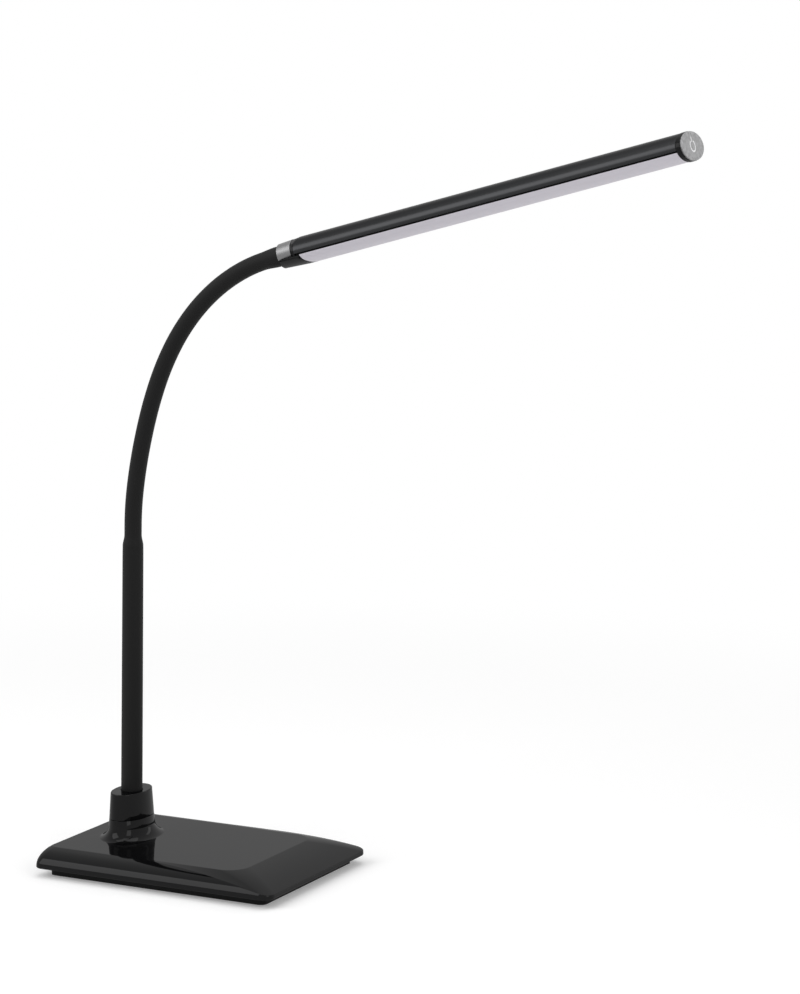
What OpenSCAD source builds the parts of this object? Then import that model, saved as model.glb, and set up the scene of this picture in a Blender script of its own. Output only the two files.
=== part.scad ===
// Gooseneck desk lamp: weighted base, bendable neck, oval LED bar with a touch switch in its end.
// Origin: centre of the base on the desk.  +X points along the bar, +Z is up.  Millimetres.

/* [Base shell] */
// Length of the shell at its rim
shell_l = 196; // [180:1:230]
// Width of the shell at its rim
shell_w = 148; // [140:1:180]
// Corner radius of the rim
rim_r = 9; // [5:0.5:14]
// Height of the shell's lower edge above the desk
rim_z = 6.5; // [6:0.25:8]
// Height of the flat top above the desk
top_z = 19.3; // [18.5:0.1:24]
// Wall of the shell
skin = 2.4; // [1.6:0.1:2.6]
// How far the long walls lean in below the flat top
side_lean = 17; // [10:0.5:22]
// How far the rear wall leans in
rear_lean = 3; // [2:0.5:8]
// Depth of the sloping face at the front
slope_l = 34.5; // [20:0.5:45]
// Height that the crease falls from the flat top to the front edge
crease_drop = 9.5; // [5:0.1:9.7]
// Where the crease leaves the flat top, from the middle of the base
crease_start = -27; // [-60:1:20]

/* [Boss and collar] */
// Distance of the neck from the middle of the base, towards the rear
stem_back = 59.5; // [50:0.5:66]
// Half size of the oval collar along the base, at its top
collar_x = 12.6; // [11:0.1:16]
// Half size of the oval collar across the base, at its top
collar_y = 20.6; // [14:0.1:24]
// How much the collar grows from its top to its seam
collar_draft = 1.2; // [0.4:0.1:2.5]
// Height of the seam between the boss and the collar
seam_z = 34; // [31:0.1:38]
// Height of the collar's flat top
collar_z = 53.4; // [48:0.1:60]
// Radius of the flare where the boss meets the top
flare_r = 9.5; // [5:0.1:10.5]

/* [Pan, ballast and pad] */
// Length of the plinth under the shell
pan_l = 179; // [170:1:180]
// Width of the plinth under the shell
pan_w = 131.4; // [124:0.2:133]
// Thickness of the pan's floor
pan_floor = 2.4; // [1.8:0.1:2.6]
// Thickness of the anti-slip pad
pad_t = 1.6; // [1.2:0.1:2]
// Length of the anti-slip pad
pad_l = 164; // [120:1:166]
// Width of the anti-slip pad
pad_w = 116; // [90:1:118]
// Length of the steel ballast plate
ballast_l = 134; // [110:1:136]
// Width of the steel ballast plate
ballast_w = 98; // [96:1:104]
// Thickness of the steel ballast plate
ballast_t = 5; // [3:0.1:5.2]
// Radius of the posts that the base screws go into
post_r = 3.8; // [3.4:0.1:4.5]
// Radius of the base screws
screw_r = 1.5; // [1.2:0.1:1.6]

/* [Lower stem] */
// Outer radius of the thick lower sleeve at its foot
stem_r = 7.9; // [7.6:0.1:8.5]
// Outer radius of the thick lower sleeve at its upper end
stem_top_r = 7.6; // [7.2:0.1:8.5]
// Outer radius of the steel tube inside it
tube_r = 5.6; // [5.2:0.1:6]
// Wall of the steel tube
tube_wall = 1.4; // [1:0.1:1.6]
// Height of the lowest bending point of the neck
stem_top_z = 250; // [210:1:280]
// Length of the taper below that point
taper_l = 15; // [10:1:22]
// Forward lean of the straight stem, in degrees
stem_lean = 1.15; // [0.5:0.05:3]

/* [Neck] */
// Outer radius of the neck's rubber sleeve
neck_r = 6.3; // [6.2:0.1:7]
// Length of the bendable neck
neck_l = 246.3; // [225:0.1:300]
// Bend of each neck section at rest, in degrees, from the lowest one up
section_bend = [6.9, 4.3, 3.8, 5.4, 7.9, 9.7, 10.7, 11.8, 13];
// Outer radius of the wound steel core
core_r = 4.3; // [3.8:0.1:4.6]
// Wall of the wound steel core
core_wall = 1.8; // [1.2:0.1:2]
// Running gap between a ball end and its socket
ball_gap = 0.35; // [0.3:0.01:0.4]

/* [LED bar] */
// Length of the oval housing
bar_l = 295.3; // [260:0.1:360]
// Half height of the oval housing
bar_h = 9.9; // [9:0.1:11]
// Half width of the oval housing
bar_w = 18.5; // [17:0.1:20]
// Wall of the aluminium housing
bar_wall = 1.3; // [1:0.1:1.5]
// How far below the bar's axis the diffuser starts
split_x = 3; // [2.4:0.1:4]
// Wall of the diffuser
lens_wall = 1.6; // [1.2:0.1:1.8]
// How far the bar's axis lies below the neck's
bar_drop = 0.2; // [0:0.1:0.6]
// Number of LEDs
led_count = 24; // [12:1:30]
// Width of the LED board
board_w = 18; // [14:0.5:20]

/* [Bar ends] */
// Length of straight neck between its last section's bend and the silver ring
ring_z = 8.4; // [6:0.1:12]
// Length of the silver ring
ring_l = 11.2; // [8:0.1:13]
// Radius of the silver ring at the neck
ring_r0 = 7.4; // [7.3:0.1:8]
// Radius of the silver ring at the bar
ring_r1 = 8.7; // [8:0.1:9.2]
// How far the neck's sleeve goes into the ring
ring_grip = 6; // [3:0.5:8]
// Length of the shoulder between ring and housing
shoulder_l = 8.9; // [7:0.1:14]
// How far the cap reaches along the underside past the shoulder
tongue_l = 5; // [3:0.1:8]
// Length of the end bezel with the touch plate on it
bezel_l = 5.2; // [5:0.1:9]
// How much the end bezel stands proud of the housing all round
bezel_proud = 0.7; // [0.4:0.1:1.2]
// Thickness of the touch plate
plate_t = 1.2; // [1:0.1:1.6]
// Mean radius of the power symbol's ring
symbol_r = 3.8; // [3:0.1:5]
// Line width of the power symbol
symbol_line = 0.9; // [0.6:0.1:1.2]

/* [Hidden] */
$fn = 64;
eps = 0.01;
fit = 0.05;                              // clearance of a piece held in its seat
slip = 0.3;                              // clearance of the rubber sleeve on the steel tube
loose = 0.3;                             // clearance of a piece that only lies near its seat

// ---- base heights -------------------------------------------------------------------------
wall_bulge = top_z - rim_z - 1.2;        // height over which the walls curve in
rim_top_z = rim_z + 1.5;                 // height of the shell's widest line
pad_seat_z = pad_t;                      // underside of the pan above the pad
pan_low_z = 0.8;                         // lower edge of the plinth
floor_z = pad_seat_z + pan_floor - 0.8;  // top of the pan's floor
flange_z = rim_z - 0.7;                  // underside of the pan's flange
flange_t = 1.3;
pan_r = 5;
nut_t = 3;
washer_t = 0.8;
washer_r = 9;
stud_r = 4.9;                            // M10 stud
stud_bore = 3;
stud_low_z = floor_z + 2.6;
nut_z = stud_low_z + 0.2;
washer_z = nut_z + nut_t;
ballast_z = washer_z + washer_t;
roof_z = top_z - skin;                   // underside of the flat top
stem_x = -stem_back;
inlet_z = 12.2;                          // height of the inlet's axis
inlet_r = 3.9;
inlet_h = 8.8;                           // height of the inlet's block
jack_l = 12;
inlet_x = rear_lean + skin + 0.6 - shell_l / 2;
ballast_gap = 1;                         // between the inlet and the ballast plate
ballast_x = inlet_x + jack_l + ballast_gap + ballast_l / 2;
post_in = 7;                             // posts' distance from the plate's ends
post_x = [ballast_x + ballast_l / 2 - post_in, ballast_x - ballast_l / 2 + post_in];
post_y = ballast_w / 2 - 8;
screw_head_r = 2.8;
screw_head_t = 1.6;

// ---- points on the base's outline ---------------------------------------------------------
corner_steps = 8;
side_steps = 8;
// Each station is [which x end, which y side, angle on the corner, share along the long side].
stations = concat(
    [for (k = [0:corner_steps]) [1, 1, 90 * k / corner_steps, 0]],
    [for (k = [1:side_steps]) [0, 1, 90, k / (side_steps + 1)]],
    [for (k = [0:corner_steps]) [-1, 1, 90 + 90 * k / corner_steps, 1]],
    [for (k = [0:corner_steps]) [-1, -1, 180 + 90 * k / corner_steps, 1]],
    [for (k = [1:side_steps]) [0, -1, 270, 1 - k / (side_steps + 1)]],
    [for (k = [0:corner_steps]) [1, -1, 270 + 90 * k / corner_steps, 0]]
);

function outline_point(s, front, rear, half, r) =
    let (cx = s[0] > 0 ? front - r : s[0] < 0 ? r - rear : (front - r) * (1 - s[3]) + (r - rear) * s[3])
    [cx + r * cos(s[2]) * abs(s[0]), s[1] * (half - r) + r * sin(s[2])];

// Share of its lean that a wall has taken up at height z.
function lean_share(z) =
    let (full = sqrt(1 - pow((top_z - rim_top_z) / wall_bulge, 2)))
    z <= rim_top_z ? 0 : (1 - sqrt(1 - pow((z - rim_top_z) / wall_bulge, 2))) / (1 - full);

function crease_z(x, half_l) =
    let (u = max(0, min(1, (x - crease_start) / (half_l - crease_start))))
    top_z - 0.05 - (crease_drop - 0.05) * pow(u, 2.5);

// A point of the wall at height z, drawn in by `inset` from the outer face.
function wall_point(s, z, inset) =
    let (g = lean_share(z))
    outline_point(s, shell_l / 2 - inset, shell_l / 2 - rear_lean * g - inset,
                  shell_w / 2 - side_lean * g - inset, rim_r - inset / 2);

function panel_point(s, inset) =
    outline_point(s, shell_l / 2 - slope_l - inset, shell_l / 2 - rear_lean - 1 - inset,
                  shell_w / 2 - side_lean - 1 - inset, s[0] < 0 ? rim_r - inset / 2 : 1.8 * rim_r);

wall_steps = 4;
slope_steps = 3;
slope_bulge = 0.9;                       // the sloping face is slightly rounded

// Rings of points from the rim up to the edge of the flat top, for one station.
function base_column(s, inset, low_z) =
    let (x0 = wall_point(s, rim_top_z, 0)[0],
         zc = crease_z(x0, shell_l / 2),
         crease = wall_point(s, zc, inset),
         panel = panel_point(s, inset))
    concat(
        [[for (v = wall_point(s, rim_z, inset + 0.9)) v, low_z]],
        inset > 0 ? [] : [[for (v = wall_point(s, rim_z, inset)) v, rim_z + 0.7]],
        [for (k = [0:wall_steps])
            let (z = rim_top_z + (zc - rim_top_z) * k / wall_steps)
            [for (v = wall_point(s, z, inset)) v, z - inset]],
        [for (k = [1:slope_steps])
            let (h = k / slope_steps,
                 rise = slope_bulge * 4 * h * (1 - h) * (top_z - zc) / crease_drop)
            [for (v = crease * (1 - h) + panel * h) v, zc * (1 - h) + top_z * h + rise - inset]]
    );

// Closed body through columns of points that all have the same number of rings.
module lofted(columns) {
    n = len(columns);
    m = len(columns[0]);
    points = [for (j = [0:m - 1]) for (i = [0:n - 1]) columns[i][j]];
    sides = [for (j = [0:m - 2]) for (i = [0:n - 1])
        let (a = j * n + i, b = j * n + (i + 1) % n, c = b + n, d = a + n)
        each [[a, c, b], [a, d, c]]];
    bottom = [for (i = [0:n - 1]) i];
    top = [for (i = [0:n - 1]) m * n - 1 - i];
    polyhedron(points, concat([bottom], sides, [top]), convexity = 4);
}

module base_form(inset, low_z) {
    lofted([for (s = stations) base_column(s, inset, low_z)]);
}

// ---- ovals --------------------------------------------------------------------------------
oval_steps = 48;

function oval_points(hx, hy, n = oval_steps) = [for (k = [0:n - 1]) [hx * cos(360 * k / n), hy * sin(360 * k / n)]];

module oval(hx, hy) {
    polygon(oval_points(hx, hy));
}

// Oval body whose half sizes grow by `grow[k]` at the heights `z[k]`.
module oval_loft(hx, hy, grow, z) {
    lofted([for (k = [0:oval_steps - 1]) let (a = 360 * k / oval_steps)
        [for (j = [0:len(z) - 1]) [(hx + grow[j]) * cos(a), (hy + grow[j]) * sin(a), z[j]]]]);
}

module rounded_box(l, w, r, z0, z1) {
    translate([0, 0, z0])
        linear_extrude(z1 - z0)
            union() {
                square([l - 2 * r, w], center = true);
                square([l, w - 2 * r], center = true);
                for (x = [-1, 1], y = [-1, 1])
                    translate([x * (l / 2 - r), y * (w / 2 - r)]) circle(r);
            }
}

// ---- neck path ----------------------------------------------------------------------------
links = 9;                               // neck sections, each with a sleeve and a core below
link_l = neck_l / links;
stem_low_z = seam_z + 2;                 // where the stem's tube starts
neck_start = [stem_x + (stem_top_z - stem_low_z) * tan(stem_lean), stem_top_z];

// Angle of the neck from the vertical at section end i.
function angle_at(i) = i == 0 ? stem_lean : angle_at(i - 1) + section_bend[i - 1];

function arc_r(i) = link_l / ((angle_at(i + 1) - angle_at(i)) * PI / 180);

// Centre of section i's arc and the place [x, z] of section end i.
function arc_centre(i) = path_point(i) + arc_r(i) * [cos(angle_at(i)), -sin(angle_at(i))];
function path_point(i) =
    i == 0 ? neck_start
           : arc_centre(i - 1) + arc_r(i - 1) * [-cos(angle_at(i)), sin(angle_at(i))];

// Round bar along an arc in the XZ plane that runs from angle a0 to a1 off the vertical.
module arc_bar(centre, arc, r, a0, a1) {
    translate([centre[0], 0, centre[1]])
        rotate([90, 0, 0])
            rotate([0, 0, 180 - a1])
                rotate_extrude(angle = a1 - a0)
                    translate([arc, 0]) circle(r);
}

// Bar along section i, from length s0 to s1 on it.
module link_bar(i, r, s0, s1) {
    per = (angle_at(i + 1) - angle_at(i)) / link_l;
    arc_bar(arc_centre(i), arc_r(i), r, angle_at(i) + s0 * per, angle_at(i) + s1 * per);
}

// Children with their +Z along the neck at section end i.
module at_joint(i) {
    translate([path_point(i)[0], 0, path_point(i)[1]]) rotate([0, angle_at(i), 0]) children();
}

// Children in the leaning stem's frame, whose origin is where its tube starts.
module at_lean(z = 0) {
    translate([stem_x, 0, stem_low_z]) rotate([0, stem_lean, 0]) translate([0, 0, z]) children();
}

stem_l = (stem_top_z - stem_low_z) / cos(stem_lean);

ball_r = neck_r - 0.15;
cup_r = ball_r + ball_gap;
cable_bore = core_r - core_wall;
core_in = 0.9;                           // where the core starts in its sleeve
core_out = cup_r + 1;                    // how far before the next joint it ends

// ---- bar frame: +Z along the bar, +X down through the diffuser, +Y across ------------------
neck_out = ring_z + ring_grip;           // where the straight end of the neck ends
cap_z = ring_z + ring_l;
housing_z = cap_z + shoulder_l;
lens_z = housing_z + tongue_l;
housing_end = housing_z + bar_l;
bezel_z = housing_end + fit;
plate_z = bezel_z + bezel_l - plate_t;
web_x = -1.6;                            // upper face of the housing's web
web_t = 1.2;
lip_t = 1.2;
board_in = 6;                            // gap between the diffuser's end and the LED board
board_z0 = lens_z + board_in;
board_z1 = housing_end - 2 * board_in;
led_w = 3.5;
led_l = 2.8;
spigot_l = 8;
tongue_r = 8.9;                          // radius of the tongue's free end
board_t = 1;
led_t = 0.7;

module at_bar() {
    at_joint(links) children();
}

module at_bar_axis(z = 0) {
    at_bar() translate([bar_drop, 0, z]) children();
}

// ---- cables: swept along points chosen by hand --------------------------------------------
base_cable_route = [
    [stem_x - 18, 0, floor_z + 2.2], [stem_x - 12, 0, floor_z + 1.3], [stem_x - 7, 0, floor_z + 1.2],
    [stem_x - 3.4, 0, floor_z + 1.2], [stem_x - 1.7, 0, floor_z + 1.9], [stem_x - 0.5, 0, floor_z + 4],
    [stem_x, 0, floor_z + 8], [stem_x, 0, floor_z + 20], [stem_x, 0, seam_z + 10]
];
cable_r = 1.1;
cable_sides = 8;

function unit(v) = v / norm(v);
function tangent_at(p, i) = unit(p[min(i + 1, len(p) - 1)] - p[max(i - 1, 0)]);

// Tube along a route that stays in the XZ plane.
module swept_cable(route, r) {
    lofted([for (k = [0:cable_sides - 1]) let (a = -360 * k / cable_sides)
        [for (i = [0:len(route) - 1]) let (t = tangent_at(route, i))
            route[i] + r * cos(a) * [t[2], 0, -t[0]] + r * sin(a) * [0, 1, 0]]]);
}

// ============================ base =========================================================
boss_grow = [for (k = [0:8]) flare_r * (1 - sin(90 * k / 8))];
boss_z = [for (k = [0:8]) top_z - 0.3 + flare_r * (1 - cos(90 * k / 8))];
foot_x = collar_x + collar_draft + 0.6;
foot_y = collar_y + collar_draft + 0.6;
rim_peg = 2.5;                           // height of the boss's locating rim in the collar

module at_stem() {
    translate([stem_x, 0, 0]) children();
}

module base_posts(r, z0, z1) {
    for (x = post_x, y = [-1, 1])
        translate([x, y * post_y, z0]) cylinder(h = z1 - z0, r = r, $fn = 32);
}

module base_shell() {
    color("#17181a")
        difference() {
            union() {
                difference() {
                    base_form(0, rim_z);
                    base_form(skin, rim_z - 3);
                }
                at_stem() difference() {
                    oval_loft(foot_x, foot_y,
                              concat(boss_grow, [-0.6]), concat(boss_z, [seam_z]));
                    translate([0, 0, top_z - 2])
                        linear_extrude(seam_z - skin - top_z + 2) oval(foot_x - skin, foot_y - skin);
                }
                at_stem() translate([0, 0, seam_z - eps])
                    linear_extrude(rim_peg) oval(collar_x + collar_draft - 2.8, collar_y + collar_draft - 2.8);
                at_stem() translate([0, 0, ballast_z + ballast_t])
                    cylinder(h = seam_z - ballast_z - ballast_t - 1, r = washer_r);
                base_posts(post_r, ballast_z + ballast_t, roof_z + 1);
            }
            at_stem() translate([0, 0, ballast_z])
                cylinder(h = seam_z + rim_peg, r = stud_r + 0.2);
            at_stem() translate([0, 0, seam_z])
                cylinder(h = rim_peg + 1, r = tube_r + 1.2);
            base_posts(screw_r - 0.25, ballast_z, roof_z);
            translate([-shell_l / 2 - 1, 0, inlet_z]) rotate([0, 90, 0])
                cylinder(h = 8, r = inlet_r + 0.1);
        }
}

module base_pan() {
    color("#141414")
        difference() {
            union() {
                rounded_box(pan_l, pan_w, pan_r, pan_low_z, floor_z);
                difference() {
                    rounded_box(pan_l, pan_w, pan_r, floor_z - 0.5, flange_z + 0.4);
                    rounded_box(pan_l - 4, pan_w - 4, pan_r - 2, floor_z - 1, flange_z + 1);
                }
                difference() {
                    rounded_box(shell_l - 2 * skin - 2, shell_w - 2 * skin - 2, rim_r - 2.5,
                                flange_z, flange_z + flange_t);
                    rounded_box(pan_l - 4, pan_w - 4, pan_r - 2, flange_z - 1, flange_z + 3);
                }
                base_posts(post_r, floor_z - 0.5, ballast_z);
            }
            rounded_box(pad_l + 2 * fit, pad_w + 2 * fit, 8, 0, pad_seat_z);
            base_posts(screw_r + 0.2, 0, ballast_z + 1);
            base_posts(screw_head_r + 0.2, 0, pad_seat_z + screw_head_t + 0.1);
            translate([board_back_x - board_clear, -driver_w / 2 - board_clear, driver_z - driver_t - board_clear])
                cube([driver_l + 2 * board_clear, driver_w + 2 * board_clear, 5]);
        }
}

module ballast_plate() {
    color("#5c6063")
        difference() {
            translate([ballast_x, 0, 0])
                rounded_box(ballast_l, ballast_w, 6, ballast_z, ballast_z + ballast_t);
            base_posts(screw_r + 0.3, ballast_z - 1, ballast_z + ballast_t + 1);
            at_stem() translate([0, 0, ballast_z - 1]) cylinder(h = ballast_t + 2, r = stud_r + 0.2);
        }
}

module desk_pad() {
    color("#26272a")
        rounded_box(pad_l, pad_w, 8, 0, pad_t);
}

module base_screws() {
    color("#8d9092") {
        base_posts(screw_head_r, pad_seat_z, pad_seat_z + screw_head_t);
        base_posts(screw_r - 0.3, pad_seat_z + screw_head_t, roof_z - 0.3);
    }
}

// Barrel socket with its centre pin, on the inside of the rear wall.
socket_r = 2.85;
pin_r = 1.05;

module power_inlet() {
    color("#202124")
        difference() {
            union() {
                translate([inlet_x, -4.6, inlet_z - inlet_h / 2]) cube([jack_l, 9.2, inlet_h]);
                translate([-shell_l / 2 + 0.8, 0, inlet_z]) rotate([0, 90, 0])
                    cylinder(h = inlet_x + shell_l / 2, r = inlet_r);
            }
            difference() {
                translate([-shell_l / 2, 0, inlet_z]) rotate([0, 90, 0])
                    cylinder(h = 10.5, r = socket_r);
                translate([-shell_l / 2 + 1.4, 0, inlet_z]) rotate([0, 90, 0])
                    cylinder(h = 11, r = pin_r);
            }
        }
}

// The driver board lies under the inlet and ends before the ballast plate.
driver_z = inlet_z - inlet_h / 2;
driver_t = 1.2;
driver_w = 26;
board_clear = 0.3;                       // around the driver board
board_back_x = inlet_x + 5;
driver_l = inlet_x + jack_l + ballast_gap - 2 * board_clear - board_back_x;

module driver_board() {
    color("#1f5b3a")
        translate([board_back_x, -driver_w / 2, driver_z - driver_t]) cube([driver_l, driver_w, driver_t]);
    color("#222222")
        for (y = [-9.8, 9.8])
            translate([board_back_x + 1, y - 2.4, driver_z]) cube([driver_l - 2, 4.8, 3.4]);
}

module base_cable() {
    color("#303030") swept_cable(base_cable_route, cable_r);
}

module stem_nut() {
    color("#a8abad") at_stem()
        translate([0, 0, nut_z]) difference() {
            cylinder(h = nut_t, r = 8, $fn = 6);
            translate([0, 0, -1]) cylinder(h = nut_t + 2, r = stud_r + fit);
        }
}

module stem_washer() {
    color("#b5b8ba") at_stem()
        translate([0, 0, washer_z]) difference() {
            cylinder(h = washer_t, r = washer_r);
            translate([0, 0, -1]) cylinder(h = washer_t + 2, r = stud_r + 0.2);
        }
}

// Hollow stud: thread below, flange on the boss, leaning spigot inside the steel tube.
flange_h = stem_low_z - seam_z;
spigot_h = 12;

module stem_stud() {
    color("#9a9da0") difference() {
        union() {
            at_stem() translate([0, 0, stud_low_z]) cylinder(h = seam_z - stud_low_z, r = stud_r);
            at_stem() translate([0, 0, seam_z]) cylinder(h = flange_h / 2, r = tube_r + 1);
            at_lean(-0.7 * flange_h) cylinder(h = 0.7 * flange_h, r = tube_r + 0.6);
            at_lean(-eps) cylinder(h = spigot_h, r = tube_r - tube_wall - fit);
        }
        at_stem() translate([0, 0, stud_low_z - 1]) cylinder(h = seam_z + 30, r = stud_bore);
    }
}

module boss_collar() {
    top_in = collar_z - 2.2;
    color("#1a1b1d") difference() {
        at_stem() oval_loft(collar_x, collar_y, [collar_draft - 0.3, collar_draft, 0, -0.5],
                            [seam_z + 0.05, seam_z + 0.4, collar_z - 0.5, collar_z]);
        at_stem() oval_loft(collar_x - 2.4, collar_y - 2.4, [collar_draft, 0], [seam_z - 1, top_in]);
        at_lean(top_in - 1 - stem_low_z) cylinder(h = collar_z - top_in + 3, r = stem_r + loose);
    }
}

// ============================ lower stem ===================================================
tube_end = stem_l - cup_r - 1.6;         // where the sleeve's wide bore ends, along the stem
taper_start = stem_l - taper_l;
ferrule_t = 1.3;

module lower_tube() {
    color("#8b8e90")
        at_lean(fit) difference() {
            cylinder(h = tube_end - ferrule_t - 2 * fit, r = tube_r);
            translate([0, 0, -1]) cylinder(h = tube_end + 2, r = tube_r - tube_wall);
        }
}

// The rubber sleeve in one revolved profile, with the neck's lowest socket in its top.
module lower_sleeve() {
    bore = tube_r + slip;
    foot = seam_z + rim_peg + loose - stem_low_z;
    color("#232323")
        difference() {
            at_lean() rotate_extrude()
                polygon([[bore, foot], [stem_r, foot], [stem_top_r, taper_start], [neck_r, stem_l - cup_r],
                         [neck_r, stem_l], [cable_bore, stem_l], [cable_bore, tube_end], [bore, tube_end]]);
            at_joint(0) sphere(cup_r);
        }
}

module neck_ferrule() {
    color("#b0b2b4")
        at_lean(tube_end) difference() {
            union() {
                translate([0, 0, -ferrule_t]) cylinder(h = ferrule_t - fit, r = tube_r);
                translate([0, 0, -9]) cylinder(h = 8, r = tube_r - tube_wall - fit);
            }
            translate([0, 0, -10]) cylinder(h = 12, r = cable_bore);
        }
}

// ============================ neck sections ================================================
// Straight end of the last section, a hair thinner so that it starts inside the bend.
module neck_end(r, s1) {
    hair = 0.02;
    at_bar() translate([0, 0, -0.5]) cylinder(h = s1 + 0.5, r = r - hair);
}

module neck_sleeve(i) {
    last = i == links - 1;
    color("#232323")
        difference() {
            union() {
                link_bar(i, neck_r, 0, link_l);
                at_joint(i) sphere(ball_r);
                if (last) neck_end(neck_r, neck_out);
            }
            if (!last) at_joint(i + 1) sphere(cup_r);
            link_bar(i, core_r + fit, core_in, last ? link_l : link_l - core_out);
            if (last) neck_end(core_r + fit, neck_out + 1);
            at_joint(i) translate([0, 0, -ball_r - 1]) cylinder(h = ball_r + 1 + core_in + 0.3, r = cable_bore);
            if (!last) at_joint(i + 1) translate([0, 0, -core_out - 0.3]) cylinder(h = core_out, r = cable_bore);
        }
}

module neck_core(i) {
    last = i == links - 1;
    s1 = last ? link_l : link_l - core_out - fit;
    color("#7d8083")
        difference() {
            union() {
                link_bar(i, core_r, core_in + fit, s1);
                if (last) neck_end(core_r, neck_out);
            }
            link_bar(i, cable_bore, core_in - 1, last ? s1 : s1 + 1);
            if (last) neck_end(cable_bore, neck_out + 1);
        }
}

// ============================ bar ==========================================================
module head_ring() {
    color("#b9bcbf") at_bar() translate([0, 0, ring_z]) difference() {
        rotate_extrude()
            polygon([[neck_r + 0.25, 0], [ring_r0 - 0.3, 0], [ring_r0, 0.3], [ring_r1, ring_l - 0.3],
                     [ring_r1 - 0.3, ring_l], [neck_r + 0.25, ring_l]]);
        translate([bar_drop + split_x, -20, -1]) cube([20, 40, ring_l + 2]);
    }
}

// Lower half of the bar's oval, between two stations along it.
module underside(hx, hy, z0, z1, from_x) {
    translate([0, 0, z0]) linear_extrude(z1 - z0) intersection() {
        oval(hx, hy);
        below(from_x);
    }
}

// Half plane of a section on the diffuser's side of x, and the one on the other side.
module below(x) {
    translate([x, -2 * bar_w]) square([4 * bar_w, 4 * bar_w]);
}

module above(x) {
    translate([x - 4 * bar_w, -2 * bar_w]) square([4 * bar_w, 4 * bar_w]);
}

module rear_cap() {
    color("#1b1c1e") difference() {
        union() {
            hull() {
                at_bar() translate([0, 0, cap_z + 0.05]) cylinder(h = 0.5, r = ring_r1 - 0.2, $fn = 32);
                at_bar_axis(housing_z - 1.2) linear_extrude(1.2) oval(bar_h - 0.3, bar_w - 0.3);
            }
            at_bar_axis() hull() {
                underside(tongue_r, tongue_r, ring_z + 1.2, ring_z + 1.7, split_x + 0.1);
                underside(bar_h - 0.1, bar_w - 0.1, housing_z - 0.5, housing_z, split_x + 0.1);
            }
            at_bar_axis() underside(bar_h - 0.1, bar_w - 0.1, housing_z - 0.3, lens_z, split_x + 0.1);
            at_bar_axis(housing_z - eps) linear_extrude(spigot_l) intersection() {
                oval(bar_h - bar_wall - fit, bar_w - bar_wall - fit);
                above(web_x - 0.2);
            }
        }
        at_bar() translate([0, 0, ring_z - 1]) cylinder(h = ring_l + 1.1, r = neck_r + 0.35);
        at_bar() translate([0, 0, cap_z - 1]) cylinder(h = shoulder_l + spigot_l + 2, r = tube_r + fit);
    }
}

nut_l = cap_z + 3 - neck_out;             // the end nut reaches into the shoulder

module neck_end_nut() {
    color("#b0b2b4") at_bar() difference() {
        translate([0, 0, neck_out + 0.1]) cylinder(h = nut_l, r = tube_r);
        translate([0, 0, neck_out - 1]) cylinder(h = nut_l + 2, r = cable_bore);
    }
}

module head_housing() {
    color("#2b2d30") at_bar_axis(housing_z) linear_extrude(bar_l) {
        difference() {
            oval(bar_h, bar_w);
            oval(bar_h - bar_wall, bar_w - bar_wall);
            below(split_x);
        }
        intersection() {
            oval(bar_h - 0.1, bar_w - 0.1);
            translate([web_x, -bar_w]) square([web_t, 2 * bar_w]);
        }
        intersection() {
            oval(bar_h - 0.1, bar_w - 0.1);
            for (y = [-1, 1])
                translate([split_x - lip_t / 2, y * (bar_w - 1.7)]) square([lip_t, 2.6], center = true);
        }
    }
}

board_x = web_x + web_t;

module led_board() {
    color("#d8dad6") at_bar_axis()
        translate([board_x, -board_w / 2, board_z0]) cube([board_t, board_w, board_z1 - board_z0]);
}

module led_chips() {
    first = board_z0 + board_in;
    pitch = (board_z1 - board_in - led_l - first) / (led_count - 1);
    color("#f0e2a0") at_bar_axis()
        for (k = [0:led_count - 1])
            translate([board_x + board_t, -led_w / 2, first + k * pitch]) cube([led_t, led_w, led_l]);
}

module board_screws() {
    color("#a0a3a5") at_bar_axis()
        for (z = [board_z0 + 3, (board_z0 + board_z1) / 2, board_z1 - 3], y = [-1, 1])
            translate([board_x + board_t, y * (board_w / 2 - 2.2), z]) rotate([0, 90, 0])
                cylinder(h = 1, r = 1.6, $fn = 24);
}

module diffuser() {
    color("#d5d3da") at_bar_axis(lens_z + 0.05) linear_extrude(housing_end - lens_z - 0.1) {
        difference() {
            oval(bar_h, bar_w);
            oval(bar_h - lens_wall, bar_w - lens_wall);
            above(split_x + fit);
        }
        intersection() {
            oval(bar_h - lens_wall + 0.2, bar_w - lens_wall + 0.2);
            translate([split_x + fit, -bar_w]) square([lip_t, 2 * bar_w]);
            union() for (y = [-1, 1]) translate([split_x, y * (bar_w - 3.2)]) square([4, 3.4], center = true);
        }
    }
}

bezel_floor = 1.4;                       // thickness of the bezel behind its recess
screw_x = -4;
screw_y = 7;
sensor_t = 0.9;

module end_bezel() {
    hx = bar_h + bezel_proud;
    hy = bar_w + bezel_proud;
    color("#141517") at_bar_axis(bezel_z) {
        difference() {
            oval_loft(hx, hy, [-0.4, 0, 0, -0.2], [0, 0.4, bezel_l - plate_t - 0.2, bezel_l - plate_t]);
            translate([0, 0, bezel_floor]) linear_extrude(bezel_l) oval(hx - 2.9, hy - 2.9);
            for (y = [-1, 1]) translate([screw_x, y * screw_y, -1]) cylinder(h = 6, r = 1.2, $fn = 24);
        }
        translate([0, 0, -spigot_l]) linear_extrude(spigot_l + eps) difference() {
            intersection() {
                oval(bar_h - bar_wall - fit, bar_w - bar_wall - fit);
                above(web_x - 0.1);
            }
            for (y = [-1, 1]) translate([screw_x, y * screw_y]) circle(1.2, $fn = 24);
        }
    }
}

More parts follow.
